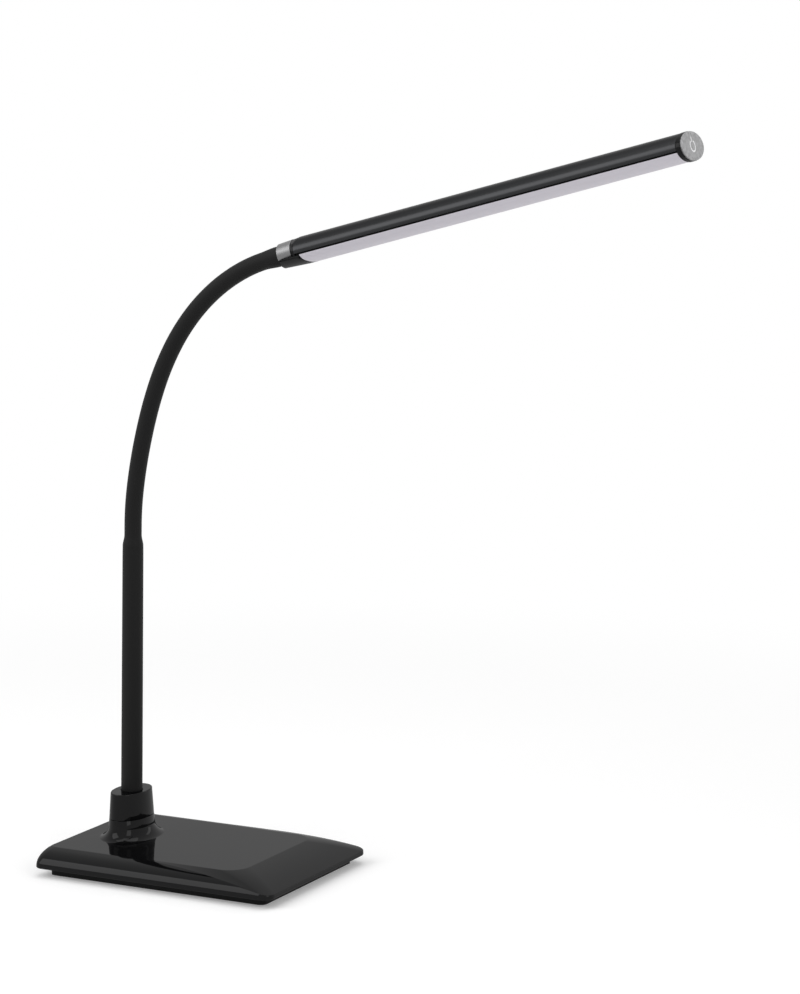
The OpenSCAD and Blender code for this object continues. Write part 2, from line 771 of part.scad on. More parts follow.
module bezel_screws() {
    color("#a0a3a5") at_bar_axis(bezel_z)
        for (y = [-1, 1]) translate([screw_x, y * screw_y, 0]) {
            translate([0, 0, -6]) cylinder(h = 6 + bezel_floor, r = 1.1, $fn = 24);
            translate([0, 0, bezel_floor]) cylinder(h = 0.8, r = 2, $fn = 24);
        }
}

module touch_board() {
    color("#1f5b3a") at_bar_axis(bezel_z + bezel_floor)
        linear_extrude(sensor_t) difference() {
            oval(bar_h - 2.6, bar_w - 2.6);
            for (y = [-1, 1]) translate([screw_x, y * screw_y]) circle(2.2, $fn = 24);
        }
}

module touch_spring() {
    gap_l = plate_z - bezel_z - bezel_floor - sensor_t;
    color("#c9ab5a") at_bar_axis(plate_z - gap_l) difference() {
        cylinder(h = gap_l, r1 = 3.2, r2 = 2.4);
        translate([0, 0, -1]) cylinder(h = gap_l + 2, r = 1.9);
    }
}

plate_in = 0.25;                         // how far the plate stands in from the bezel

module touch_plate() {
    hx = bar_h + bezel_proud - plate_in;
    hy = bar_w + bezel_proud - plate_in;
    color("#a3a5a8") at_bar_axis(plate_z) difference() {
        oval_loft(hx, hy, [0, 0, -0.25], [0, plate_t - 0.2, plate_t]);
        symbol(0.25, plate_t - 0.2);
    }
}

// Power symbol: a ring that is open at the top, with a bar in the opening.
module symbol(depth, base_z) {
    translate([0, 0, base_z + 0.2 - depth]) {
        rotate([0, 0, 180 + 32]) rotate_extrude(angle = 296)
            translate([symbol_r - symbol_line / 2, 0]) square([symbol_line, depth + 0.05]);
        translate([-symbol_r - 1.2, -symbol_line / 2, 0]) cube([3.4, symbol_line, depth + 0.05]);
    }
}

module power_symbol() {
    color("#d9dadc") at_bar_axis(plate_z) symbol(0.25, plate_t - 0.2);
}

// Wires from the neck to the LED board, above the web.
web_top = web_x - cable_r - 0.4;         // where the wires lie on the web
head_cable_route = [
    [0, 0, 2], [0, 0, cap_z + 2.5], [web_top / 2, 0, cap_z + 5], [web_top, 0, housing_z - 1],
    [web_top, 0, housing_z + 6], [web_top, 0, housing_z + 24]
];

module head_cable() {
    color("#303030") at_bar() swept_cable(head_cable_route, cable_r);
}

base_shell();
base_pan();
ballast_plate();
desk_pad();
base_screws();
power_inlet();
driver_board();
base_cable();
stem_stud();
stem_nut();
stem_washer();
boss_collar();
lower_tube();
lower_sleeve();
neck_ferrule();
neck_sleeve(0);  // neck_sleeve_1
neck_sleeve(1);  // neck_sleeve_2
neck_sleeve(2);  // neck_sleeve_3
neck_sleeve(3);  // neck_sleeve_4
neck_sleeve(4);  // neck_sleeve_5
neck_sleeve(5);  // neck_sleeve_6
neck_sleeve(6);  // neck_sleeve_7
neck_sleeve(7);  // neck_sleeve_8
neck_sleeve(8);  // neck_sleeve_9
neck_core(0);  // neck_core_1
neck_core(1);  // neck_core_2
neck_core(2);  // neck_core_3
neck_core(3);  // neck_core_4
neck_core(4);  // neck_core_5
neck_core(5);  // neck_core_6
neck_core(6);  // neck_core_7
neck_core(7);  // neck_core_8
neck_core(8);  // neck_core_9
head_ring();
rear_cap();
neck_end_nut();
head_cable();
head_housing();
led_board();
led_chips();
board_screws();
diffuser();
end_bezel();
bezel_screws();
touch_board();
touch_spring();
touch_plate();
power_symbol();
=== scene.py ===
"""Looks of the gooseneck desk lamp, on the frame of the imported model.

Sizes are millimetres, as in the model, and become metres where a mesh is made. Angles are degrees.
+X points from the neck towards the bar's end, +Z is up. The bar has a frame of its own: x down
through the diffuser, y across and z along, from the end of the neck's last section.
"""
import math

import bmesh
import bpy
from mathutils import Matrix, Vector


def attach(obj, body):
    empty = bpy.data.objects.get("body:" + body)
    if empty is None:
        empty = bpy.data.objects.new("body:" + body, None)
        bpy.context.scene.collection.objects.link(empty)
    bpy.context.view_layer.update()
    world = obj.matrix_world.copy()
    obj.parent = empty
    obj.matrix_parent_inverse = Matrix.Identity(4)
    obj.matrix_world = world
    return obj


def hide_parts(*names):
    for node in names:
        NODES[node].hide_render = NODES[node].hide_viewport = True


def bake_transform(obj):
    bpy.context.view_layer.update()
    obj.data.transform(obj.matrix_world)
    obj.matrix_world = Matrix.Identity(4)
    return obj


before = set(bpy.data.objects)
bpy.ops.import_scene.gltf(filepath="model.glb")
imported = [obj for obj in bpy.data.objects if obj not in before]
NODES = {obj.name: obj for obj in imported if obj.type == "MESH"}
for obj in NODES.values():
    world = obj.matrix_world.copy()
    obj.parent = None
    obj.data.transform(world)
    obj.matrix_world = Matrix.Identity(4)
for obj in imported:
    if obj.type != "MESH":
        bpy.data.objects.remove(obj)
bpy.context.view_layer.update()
MM = 0.001

# ---- sizes of the skins -----------------------------------------------------------------------
SHELL_L, SHELL_W = 196, 148
FRONT_R, REAR_R, PANEL_R = 9, 6.5, 16.2  # corner radii of the shell and of its flat top's front
RIM_Z, TOP_Z = 6.5, 19.3
SIDE_LEAN, REAR_LEAN = 17, 3             # how far the walls lean in between rim and top
PANEL_MARGIN = 1                         # from the top of the walls to the flat top's edge
SLOPE_L, SLOPE_BULGE = 34.5, 0.9
CREASE_DROP, CREASE_START, CREASE_POWER, CREASE_GAP = 9.5, -27, 2.5, 0.05
RIM_TOP_Z = RIM_Z + 1.5
WALL_BULGE = TOP_Z - RIM_Z - 1.2

STEM_X, STEM_LOW_Z, STEM_TOP_Z, STEM_LEAN = -59.5, 36, 250, 1.15
STEM_R, STEM_TOP_R, STEM_FOOT = 7.9, 7.6, 0.8
TAPER_FROM, TAPER_TO = 15, 6.5           # the stem narrows between these, below the neck's start
COLLAR_X, COLLAR_Y, COLLAR_DRAFT = 12.6, 20.6, 1.2
SEAM_Z, COLLAR_Z = 34, 53.4
COLLAR_GAP, COLLAR_FOOT, COLLAR_ROUND = 0.05, 0.4, 0.7
COLLAR_UNDER = (2, 0.3)                  # insets of the two rings on its underside
HOLE_GAP, HOLE_EDGE, HOLE_DEPTH = 0.3, 0.25, 2.2
FLARE_R, FLARE_FROM, FLARE_SINK = 9.5, 15, 0.3
FOOT_GROW = COLLAR_DRAFT + 0.6

NECK_R, NECK_L, LINKS = 6.3, 246.3, 9
SECTION_BEND = (6.9, 4.3, 3.8, 5.4, 7.9, 9.7, 10.7, 11.8, 13)
END_ANGLE = STEM_LEAN + sum(SECTION_BEND)
LINK_L = NECK_L / LINKS
END_LIFT, END_FLARE = 0.1, 0.9           # how the sleeve rises and widens towards the ring
FLARE_BEFORE, END_FLARE_L = 8, 14        # where that starts before the neck's end, and its length
SLEEVE_IN = 14.4                         # how far the sleeve goes on past the neck's end

BAR_H, BAR_W, BAR_WALL, BAR_DROP = 9.9, 18.5, 1.3, 0.2
SPLIT_X, LENS_WALL, LENS_IN = 3, 1.6, 0.15
SEAM, SEAM_UP, SEAM_DOWN = 0.5, 1.4, -0.25   # seam: depth of its strip of painted shade, and reach from the split
RING_Z, RING_END_Z, RING_R0, RING_R1 = 8.9, 20.6, 8.0, 8.7
RING_LIFT, RING_BORE_GAP = 0.6, 0.1      # ring above the neck's axis, and its gap round the sleeve
CUP_Z, CUP_R, CUP_EDGE = 9.6, 8.9, 0.5
HOUSING_Z, LENS_Z, HOUSING_END, JOINT = 28.5, 33.5, 324.5, 0.05
SHOULDER_RIM = 1.2                       # straight end of the shoulder before the housing
LENS_LEAN, LENS_CURVE, LENS_BACK = 2.6, 2.5, 1.6     # joint of diffuser and tongue, see lens_start
BEZEL_Z, BEZEL_L, BEZEL_PROUD, PLATE_T, PLATE_IN = 324.55, 4.5, 0.2, 1.2, 0.25
PLATE_Z = BEZEL_Z + BEZEL_L - PLATE_T
FACE_Z = PLATE_Z + PLATE_T
SYMBOL_R, SYMBOL_LINE, SYMBOL_OPEN, SYMBOL_STEPS = 3.8, 1.1, 32, 64
SYMBOL_BAR = (-6.1, -2.3)                # ends of the bar in the symbol's opening
SYMBOL_SINK, SYMBOL_RISE = 0.05, 0.04


# ---- meshes -----------------------------------------------------------------------------------
def piece(name, points, faces, material, smooth=True):
    """A mesh object from points in millimetres."""
    mesh = bpy.data.meshes.new(name)
    mesh.from_pydata([Vector(p) * MM for p in points], [], faces)
    bm = bmesh.new()
    bm.from_mesh(mesh)
    bmesh.ops.recalc_face_normals(bm, faces=bm.faces)
    for face in bm.faces:
        face.smooth = smooth
    bm.to_mesh(mesh)
    bm.free()
    mesh.materials.append(material)
    obj = bpy.data.objects.new(name, mesh)
    bpy.context.scene.collection.objects.link(obj)
    return obj


def loft(rings, start=True, end=True):
    """Points and faces of a skin through rings of equal length, closed at its ends or not."""
    n = len(rings[0])
    faces = [(k * n + i, k * n + (i + 1) % n, (k + 1) * n + (i + 1) % n, (k + 1) * n + i)
             for k in range(len(rings) - 1) for i in range(n)]
    if start:
        faces.append(tuple(reversed(range(n))))
    if end:
        faces.append(tuple(range((len(rings) - 1) * n, len(rings) * n)))
    return [p for ring in rings for p in ring], faces


def merged(*skins):
    """Points and faces of several skins as one."""
    points, faces = [], []
    for more_points, more_faces in skins:
        faces += [tuple(i + len(points) for i in face) for face in more_faces]
        points += more_points
    return points, faces


def soften(obj, width, angle=35, segments=3):
    """Rounds the sharp edges and keeps the flat faces flat."""
    bevel = obj.modifiers.new("round", "BEVEL")
    bevel.width, bevel.segments = width * MM, segments
    bevel.limit_method, bevel.angle_limit = "ANGLE", math.radians(angle)
    obj.modifiers.new("normals", "WEIGHTED_NORMAL").keep_sharp = True
    return obj


def oval(hx, hy, n=144):
    """Points once round an oval of half axes hx and hy."""
    return [(hx * math.cos(math.tau * k / n), hy * math.sin(math.tau * k / n)) for k in range(n)]


# ---- materials --------------------------------------------------------------------------------
def live(sockets, name):
    """The socket of that name that the node's data type uses."""
    return next(s for s in sockets if s.name == name and s.enabled)


def surface(name, colour, rough, metal=0.0, grain=900, stretch=(1, 1, 1), turn=0.0, relief=0.05,
            relief_depth=0.02, rough_spread=0.06, tone_spread=0.08, **sockets):
    """A Principled surface whose tone, roughness and relief vary with one noise."""
    mat = bpy.data.materials.new(name)
    mat.use_nodes = True
    tree = mat.node_tree
    shader = tree.nodes["Principled BSDF"]
    shader.inputs["Metallic"].default_value = metal
    for socket, value in sockets.items():
        shader.inputs[socket.replace("_", " ")].default_value = value
    coords = tree.nodes.new("ShaderNodeTexCoord")
    turned = tree.nodes.new("ShaderNodeMapping")
    turned.inputs["Rotation"].default_value = (0, turn, 0)
    scaled = tree.nodes.new("ShaderNodeMapping")
    scaled.inputs["Scale"].default_value = stretch
    noise = tree.nodes.new("ShaderNodeTexNoise")
    noise.inputs["Scale"].default_value = grain
    noise.inputs["Detail"].default_value = 5
    tree.links.new(coords.outputs["Object"], turned.inputs["Vector"])
    tree.links.new(turned.outputs["Vector"], scaled.inputs["Vector"])
    tree.links.new(scaled.outputs["Vector"], noise.inputs["Vector"])

    tone = tree.nodes.new("ShaderNodeMix")
    tone.data_type = "RGBA"
    low, high = 1 - tone_spread, 1 + tone_spread
    live(tone.inputs, "A").default_value = (*(c * low for c in colour), 1)
    live(tone.inputs, "B").default_value = (*(c * high for c in colour), 1)
    tree.links.new(noise.outputs["Fac"], live(tone.inputs, "Factor"))
    tree.links.new(live(tone.outputs, "Result"), shader.inputs["Base Color"])

    spread = tree.nodes.new("ShaderNodeMapRange")
    spread.inputs["To Min"].default_value = max(0.02, rough - rough_spread)
    spread.inputs["To Max"].default_value = min(1.0, rough + rough_spread)
    tree.links.new(noise.outputs["Fac"], spread.inputs["Value"])
    tree.links.new(spread.outputs["Result"], shader.inputs["Roughness"])

    bump = tree.nodes.new("ShaderNodeBump")
    bump.inputs["Strength"].default_value = relief
    bump.inputs["Distance"].default_value = relief_depth * MM
    tree.links.new(noise.outputs["Fac"], bump.inputs["Height"])
    tree.links.new(bump.outputs["Normal"], shader.inputs["Normal"])
    return mat


ALONG_BAR = math.radians(90 - END_ANGLE)
GRAIN_ALONG = (0.03, 1, 1)

gloss_black = surface("gloss_black", (0.003, 0.003, 0.0033), 0.3, grain=60, relief=0.02,
                      relief_depth=0.05, rough_spread=0.03, Specular_IOR_Level=0.0,
                      Coat_Weight=0.32, Coat_Roughness=0.05)
matt_black = surface("matt_black", (0.006, 0.006, 0.006), 0.55, relief=0.3, relief_depth=0.06,
                     Specular_IOR_Level=0.12)
pad_rubber = surface("pad_rubber", (0.012, 0.012, 0.012), 0.9, grain=1400, relief=0.6,
                     relief_depth=0.15)
sleeve_rubber = surface("sleeve_rubber", (0.007, 0.007, 0.007), 0.62, grain=1100, relief=0.25,
                        relief_depth=0.05, tone_spread=0.15, Specular_IOR_Level=0.15)
gunmetal = surface("gunmetal", (0.034, 0.0345, 0.036), 0.3, metal=1, grain=700,
                   stretch=GRAIN_ALONG, turn=ALONG_BAR, relief=0.1, rough_spread=0.05,
                   Specular_Tint=(0.5, 0.5, 0.5, 1))
# painted shade: near-black matt colour for the strips in the seam's groove; the groove is real,
# the darkness in it is painted
painted_seam_shade = surface("painted_seam_shade", (0.003, 0.003, 0.003), 0.7, Specular_IOR_Level=0.05)
cap_black = surface("cap_black", (0.006, 0.006, 0.0065), 0.3, relief=0.1,
                    Specular_IOR_Level=0.0, Coat_Weight=0.24, Coat_Roughness=0.14)
satin_silver = surface("satin_silver", (0.19, 0.19, 0.192), 0.36, metal=1, grain=1200,
                       stretch=(1, 0.05, 1), relief=0.12)
touch_silver = surface("touch_silver", (0.25, 0.25, 0.254), 0.42, metal=0.7, grain=450,
                       relief=0.5, relief_depth=0.04, tone_spread=0.9)
symbol_pale = surface("symbol_pale", (0.86, 0.86, 0.87), 0.4, grain=800)
diffuser_frost = surface("diffuser_frost", (0.60, 0.575, 0.63), 0.48, grain=500,
                         stretch=GRAIN_ALONG, turn=ALONG_BAR, tone_spread=0.03)
steel = surface("steel", (0.42, 0.42, 0.43), 0.35, metal=1, relief=0.2)
zinc = surface("zinc", (0.55, 0.56, 0.57), 0.3, metal=1, grain=500)
board_green = surface("board_green", (0.012, 0.08, 0.03), 0.4, grain=300)
board_white = surface("board_white", (0.7, 0.7, 0.68), 0.5, grain=300)
led_yellow = surface("led_yellow", (0.75, 0.55, 0.15), 0.35, grain=900)
cable_grey = surface("cable_grey", (0.02, 0.02, 0.02), 0.5)
spring_brass = surface("spring_brass", (0.6, 0.42, 0.16), 0.3, metal=1)

CAD_FINISH = {
    "base_pan": matt_black, "desk_pad": pad_rubber, "ballast_plate": steel,
    "base_screws": zinc, "power_inlet": matt_black, "driver_board": board_green,
    "base_cable": cable_grey, "head_cable": cable_grey, "stem_stud": zinc, "stem_nut": zinc,
    "stem_washer": zinc, "lower_tube": steel, "neck_ferrule": zinc, "neck_end_nut": zinc,
    "led_board": board_white, "led_chips": led_yellow, "board_screws": zinc, "bezel_screws": zinc,
    "touch_board": board_green, "touch_spring": spring_brass,
}
CAD_FINISH.update({f"neck_core_{i}": steel for i in range(1, LINKS + 1)})
for node, finish in CAD_FINISH.items():
    NODES[node].data.materials.clear()
    NODES[node].data.materials.append(finish)


# ---- base shell -------------------------------------------------------------------------------
CORNER_STEPS, SIDE_STEPS, WALL_STEPS, SLOPE_STEPS = 20, 48, 14, 12
FLARE_STEPS, DRAFT_STEPS = 20, 6
EDGE, EDGE_SHARE = 0.7, 0.3              # rounding along crease and panel, and its largest share
RIM_PROFILE = ((3.4, 0.2), (0.9, 0), (0.35, 0.15), (0, 0.7))     # inset and height at the rim
# growth and height at the boss's edge, which turns in under the collar
BOSS_EDGE = ((COLLAR_DRAFT + 0.02, -0.25), (COLLAR_DRAFT - 0.28, 0), (-2, 0))
ROUND_ANGLES = (22, 45, 68, 90)          # over the collar's top edge


def base_stations():
    """[x end, y side, angle on the corner, share along the long side], once round the shell."""
    corner = [90 * k / CORNER_STEPS for k in range(CORNER_STEPS + 1)]
    side = [k / (SIDE_STEPS + 1) for k in range(1, SIDE_STEPS + 1)]
    return ([(1, 1, a, 0) for a in corner] + [(0, 1, 90, t) for t in side]
            + [(-1, 1, 90 + a, 1) for a in corner] + [(-1, -1, 180 + a, 1) for a in corner]
            + [(0, -1, 270, 1 - t) for t in side] + [(1, -1, 270 + a, 0) for a in corner])


def corner_r(s, front_r):
    """Corner radius at station s, where only the front's differs from outline to outline."""
    return REAR_R if s[0] < 0 else front_r


def outline_point(s, front, rear, half, r):
    """Point of station s on a rounded rectangle with ends at x = front and -rear."""
    share = {1: 0, -1: 1}.get(s[0], s[3])
    x = (front - r) * (1 - share) + (r - rear) * share
    angle = math.radians(s[2])
    return x + r * math.cos(angle) * abs(s[0]), s[1] * (half - r) + r * math.sin(angle)


def lean_share(z):
    """Share of the walls' lean that is reached at height z."""
    full = math.sqrt(1 - ((TOP_Z - RIM_TOP_Z) / WALL_BULGE) ** 2)
    if z <= RIM_TOP_Z:
        return 0
    return (1 - math.sqrt(1 - ((z - RIM_TOP_Z) / WALL_BULGE) ** 2)) / (1 - full)


def crease_z(x):
    """Height of the crease, which falls faster and faster towards the front."""
    u = max(0, min(1, (x - CREASE_START) / (SHELL_L / 2 - CREASE_START)))
    return TOP_Z - CREASE_GAP - (CREASE_DROP - CREASE_GAP) * u ** CREASE_POWER


def wall_point(s, z, inset=0):
    """Point of station s on the wall at height z."""
    g = lean_share(z)
    return outline_point(s, SHELL_L / 2 - inset, SHELL_L / 2 - REAR_LEAN * g - inset,
                         SHELL_W / 2 - SIDE_LEAN * g - inset, corner_r(s, FRONT_R) - inset / 2)


def panel_point(s, inset=0):
    """Point on the edge of the flat top."""
    return outline_point(s, SHELL_L / 2 - SLOPE_L - inset,
                         SHELL_L / 2 - REAR_LEAN - PANEL_MARGIN - inset,
                         SHELL_W / 2 - SIDE_LEAN - PANEL_MARGIN - inset, corner_r(s, PANEL_R))


def base_column(s):
    """Points from inside the lower edge, over the rim and the wall, to the flat top."""
    zc = crease_z(wall_point(s, RIM_TOP_Z)[0])
    crease, panel = wall_point(s, zc), panel_point(s)
    run = math.hypot(crease[0] - panel[0], crease[1] - panel[1])
    near = min(EDGE_SHARE, EDGE / run)
    even = (k / SLOPE_STEPS for k in range(1, SLOPE_STEPS))
    shares = [near] + [h for h in even if near < h < 1 - near]
    shares += [1 - near] * (SLOPE_STEPS + 1 - len(shares))
    points = [(*wall_point(s, RIM_Z, inset), RIM_Z + up) for inset, up in RIM_PROFILE]
    for k in range(WALL_STEPS + 1):
        z = RIM_TOP_Z + (zc - RIM_TOP_Z) * k / WALL_STEPS
        points.append((*wall_point(s, z), z))
    for h in shares + [1]:
        rise = SLOPE_BULGE * 4 * h * (1 - h) * (TOP_Z - zc) / CREASE_DROP
        points.append((crease[0] * (1 - h) + panel[0] * h, crease[1] * (1 - h) + panel[1] * h,
                       zc * (1 - h) + TOP_Z * h + rise))
    return points + [(*panel_point(s, EDGE), TOP_Z)]


def boss_rings():
    """Rings from the foot of the flare on the flat top up to the seam."""
    rings = []
    for k in range(FLARE_STEPS + 1):
        t = math.radians(FLARE_FROM + (90 - FLARE_FROM) * k / FLARE_STEPS)
        z = TOP_Z - FLARE_SINK + FLARE_R * (1 - math.cos(t))
        rings.append((FOOT_GROW + FLARE_R * (1 - math.sin(t)), max(z, TOP_Z)))
    rings += [(grow, SEAM_Z + up) for grow, up in BOSS_EDGE]
    return [[(STEM_X + x, y, z) for x, y in oval(COLLAR_X + g, COLLAR_Y + g)] for g, z in rings]


def base_shell():
    """Walls, slopes and boss, with the flat top filled in between them."""
    columns = [base_column(s) for s in base_stations()]
    rings = [[c[j] for c in columns] for j in range(len(columns[0]))]
    points, faces = loft(rings, start=False, end=False)
    rim = list(range(len(points) - len(columns), len(points)))
    boss_points, boss_faces = loft(boss_rings(), start=False, end=False)
    offset, n = len(points), len(oval(1, 1))
    points += boss_points
    faces += [tuple(i + offset for i in f) for f in boss_faces]
    obj = piece("base_shell_skin", points, faces, gloss_black)
    bm = bmesh.new()
    bm.from_mesh(obj.data)
    bm.verts.ensure_lookup_table()
    loops = set(rim) | set(range(offset, offset + n))
    edges = [e for e in bm.edges if e.is_boundary and all(v.index in loops for v in e.verts)]
    fill = bmesh.ops.triangle_fill(bm, edges=edges, use_beauty=True)
    for f in fill["geom"]:
        if isinstance(f, bmesh.types.BMFace):
            f.smooth = True
    bmesh.ops.remove_doubles(bm, verts=bm.verts, dist=1e-6)
    bmesh.ops.recalc_face_normals(bm, faces=bm.faces)
    bm.to_mesh(obj.data)
    bm.free()
    obj.modifiers.new("normals", "WEIGHTED_NORMAL")
    return obj


def collar():
    """Oval collar, from its turned-in foot over the top edge into the hole round the stem."""
    hole = STEM_R + HOLE_GAP
    shift = (COLLAR_Z - STEM_LOW_Z) * math.tan(math.radians(STEM_LEAN))
    side = COLLAR_Z - SEAM_Z - COLLAR_FOOT - COLLAR_ROUND
    rows = [(COLLAR_DRAFT - inset, SEAM_Z + COLLAR_GAP) for inset in COLLAR_UNDER]
    rows += [(COLLAR_DRAFT * (1 - k / DRAFT_STEPS), SEAM_Z + COLLAR_FOOT + side * k / DRAFT_STEPS)
             for k in range(DRAFT_STEPS + 1)]
    rows += [(-COLLAR_ROUND * (1 - math.cos(t)), COLLAR_Z - COLLAR_ROUND * (1 - math.sin(t)))
             for t in map(math.radians, ROUND_ANGLES)]
    rings = [[(STEM_X + x, y, z) for x, y in oval(COLLAR_X + g, COLLAR_Y + g)] for g, z in rows]
    for r, z in ((hole + HOLE_EDGE, COLLAR_Z), (hole, COLLAR_Z - HOLE_EDGE),
                 (hole, COLLAR_Z - HOLE_DEPTH)):
        rings.append([(STEM_X + shift + x, y, z) for x, y in oval(r, r)])
    obj = piece("collar_skin", *loft(rings, start=False, end=False), gloss_black)
    obj.modifiers.new("normals", "WEIGHTED_NORMAL")
    return obj


for skin, node in ((base_shell(), "base_shell"), (collar(), "boss_collar")):
    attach(skin, "base")
    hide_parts(node)


# ---- neck -------------------------------------------------------------------------------------
def neck_angle(i):
    """The neck's angle to the vertical, in radians, where section i starts."""
    return math.radians(STEM_LEAN + sum(SECTION_BEND[:i]))


def neck_ends():
    """Places (x, z) of the section ends."""
    ends = [(STEM_X + (STEM_TOP_Z - STEM_LOW_Z) * math.tan(math.radians(STEM_LEAN)), STEM_TOP_Z)]
    for i in range(LINKS):
        a, b = neck_angle(i), neck_angle(i + 1)
        r = LINK_L / (b - a)
        x, z = ends[-1]
        ends.append((x + r * (math.cos(a) - math.cos(b)), z + r * (math.sin(b) - math.sin(a))))
    return ends


ENDS = neck_ends()
STEM_L = (STEM_TOP_Z - STEM_LOW_Z) / math.cos(math.radians(STEM_LEAN))


def centre_line(s):
    """(x, z, angle) at length s from the lowest bending point.

    The line is straight below that point, where s is negative, and past the last section.
    """
    if s <= 0 or s >= NECK_L:
        a, (x, z) = (neck_angle(0), ENDS[0]) if s <= 0 else (neck_angle(LINKS), ENDS[-1])
        run = min(s, 0) + max(s - NECK_L, 0)
        return x + run * math.sin(a), z + run * math.cos(a), a
    i = min(LINKS - 1, int(s / LINK_L))
    a0, a1 = neck_angle(i), neck_angle(i + 1)
    a, r = a0 + (a1 - a0) * (s - i * LINK_L) / LINK_L, LINK_L / (a1 - a0)
    x, z = ENDS[i]
    return x + r * (math.cos(a0) - math.cos(a)), z + r * (math.sin(a) - math.sin(a0)), a


def smooth_share(t):
    """0 below t = 0, 1 above t = 1 and a smooth step between them."""
    t = max(0, min(1, t))
    return t * t * (3 - 2 * t)


def end_share(s):
    """Share of the sleeve's change towards the ring that is reached at length s."""
    return smooth_share((s - NECK_L + FLARE_BEFORE) / END_FLARE_L)


def sleeve_r(s):
    """The sleeve's radius at length s."""
    low = max(0, min(1, (s + STEM_L) / (STEM_L - TAPER_FROM)))
    thick = STEM_R + (STEM_TOP_R - STEM_R) * low
    taper = smooth_share((s + TAPER_FROM) / (TAPER_FROM - TAPER_TO))
    return thick + (NECK_R - thick) * taper + END_FLARE * end_share(s)


def sleeve(name, s0, s1, step=1.4, around=72):
    """Tube along the centre line from length s0 to s1."""
    count = max(2, round((s1 - s0) / step))
    rings = []
    for k in range(count + 1):
        s = s0 + (s1 - s0) * k / count
        (x, z, a), r, lift = centre_line(s), sleeve_r(s), END_LIFT * end_share(s)
        rings.append([(x + (r * math.cos(t) - lift) * math.cos(a), r * math.sin(t),
                       z - (r * math.cos(t) - lift) * math.sin(a))
                      for t in (math.tau * j / around for j in range(around))])
    return piece(name, *loft(rings, start=False, end=False), sleeve_rubber)


HALF = LINK_L / 2
lower = sleeve("sleeve_lower", STEM_FOOT - STEM_L, -HALF, step=6)
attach(lower, "base")
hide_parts("lower_sleeve")
for i in range(LINKS):
    middle = i * LINK_L
    bend = sleeve(f"sleeve_bend_{i + 1}", middle - HALF, middle + HALF)
    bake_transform(bend)
    if i < LINKS - 1:
        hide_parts(f"neck_sleeve_{i + 1}")
last = sleeve("sleeve_end", NECK_L - HALF, NECK_L + SLEEVE_IN)
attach(last, "head")
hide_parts(f"neck_sleeve_{LINKS}")


# ---- bar --------------------------------------------------------------------------------------
def bar_point(x, y, z, drop=BAR_DROP):
    """Place of a point of the bar's own frame, whose axis lies that far below the neck's."""
    a, (x0, z0) = math.radians(END_ANGLE), ENDS[-1]
    x += drop
    return (x0 + x * math.cos(a) + z * math.sin(a), y, z0 - x * math.sin(a) + z * math.cos(a))


def bar_skin(name, sections, material, start=True, end=True):
    """Oval skin through (half height, half width, place along the bar)."""
    rings = [[bar_point(x, y, z) for x, y in oval(hx, hy)] for hx, hy, z in sections]
    return piece(name, *loft(rings, start, end), material)


def arc(hx, hy, from_x, below, n=96):
    """Points of an oval on one side of the plane x = from_x."""
    t = math.acos(from_x / hx)
    lo, hi = (-t, t) if below else (t, math.tau - t)
    return [(hx * math.cos(lo + (hi - lo) * k / n), hy * math.sin(lo + (hi - lo) * k / n))
            for k in range(n + 1)]


def bar_extrusion(name, profile, z0, z1, material, width, start=lambda x: 0):
    """Straight skin along the bar, whose first end is shifted by start(x)."""
    rings = [[bar_point(x, y, z0 + start(x)) for x, y in profile],
             [bar_point(x, y, z1) for x, y in profile]]
    return soften(piece(name, *loft(rings), material), width)


def lens_start(x):
    """How far the joint between tongue and diffuser leans towards the bar's end at depth x."""
    depth = max(0, (x - SPLIT_X) / (BAR_H - SPLIT_X))
    return LENS_LEAN * depth ** LENS_CURVE - LENS_BACK


def ring_skin(steps=96):
    """Tapered ring that ends on the plane where the diffuser starts."""
    bore, split = NECK_R + END_FLARE + RING_BORE_GAP, BAR_DROP + SPLIT_X + RING_LIFT
    corners = ((bore, RING_Z), (RING_R0, RING_Z), (RING_R1, RING_END_Z), (bore, RING_END_Z))
    rings = []
    for k in range(steps + 1):
        section = []
        for r, z in corners:
            first = math.acos(split / r)
            t = first + (math.tau - 2 * first) * k / steps
            section.append(bar_point(r * math.cos(t), r * math.sin(t), z, -RING_LIFT))
        rings.append(section)
    return soften(piece("ring_skin", *loft(rings), satin_silver), 0.3)


def cap_skin(ring_step=0.2, shoulder_step=0.3, tongue_step=0.1):
    """Shoulder between ring and housing, and the cup and tongue below the split."""
    shoulder = [(RING_R1 - ring_step, RING_R1 - ring_step, RING_END_Z + JOINT, -RING_LIFT)]
    shoulder += [(BAR_H - shoulder_step, BAR_W - shoulder_step, z, BAR_DROP)
                 for z in (HOUSING_Z - SHOULDER_RIM, HOUSING_Z)]
    rings = [[bar_point(x, y, z, drop) for x, y in oval(hx, hy)] for hx, hy, z, drop in shoulder]
    stations = [(CUP_R, CUP_R, z) for z in (CUP_Z, CUP_Z + CUP_EDGE)]
    stations += [(BAR_H - tongue_step, BAR_W - tongue_step, z)
                 for z in (HOUSING_Z - CUP_EDGE, LENS_Z)]
    cup = [[bar_point(x, y, z + (lens_start(x) if z == LENS_Z else 0))
            for x, y in arc(hx, hy, SPLIT_X + tongue_step, True)] for hx, hy, z in stations]
    return soften(piece("cap_skin", *merged(loft(rings), loft(cup)), cap_black), 0.4)


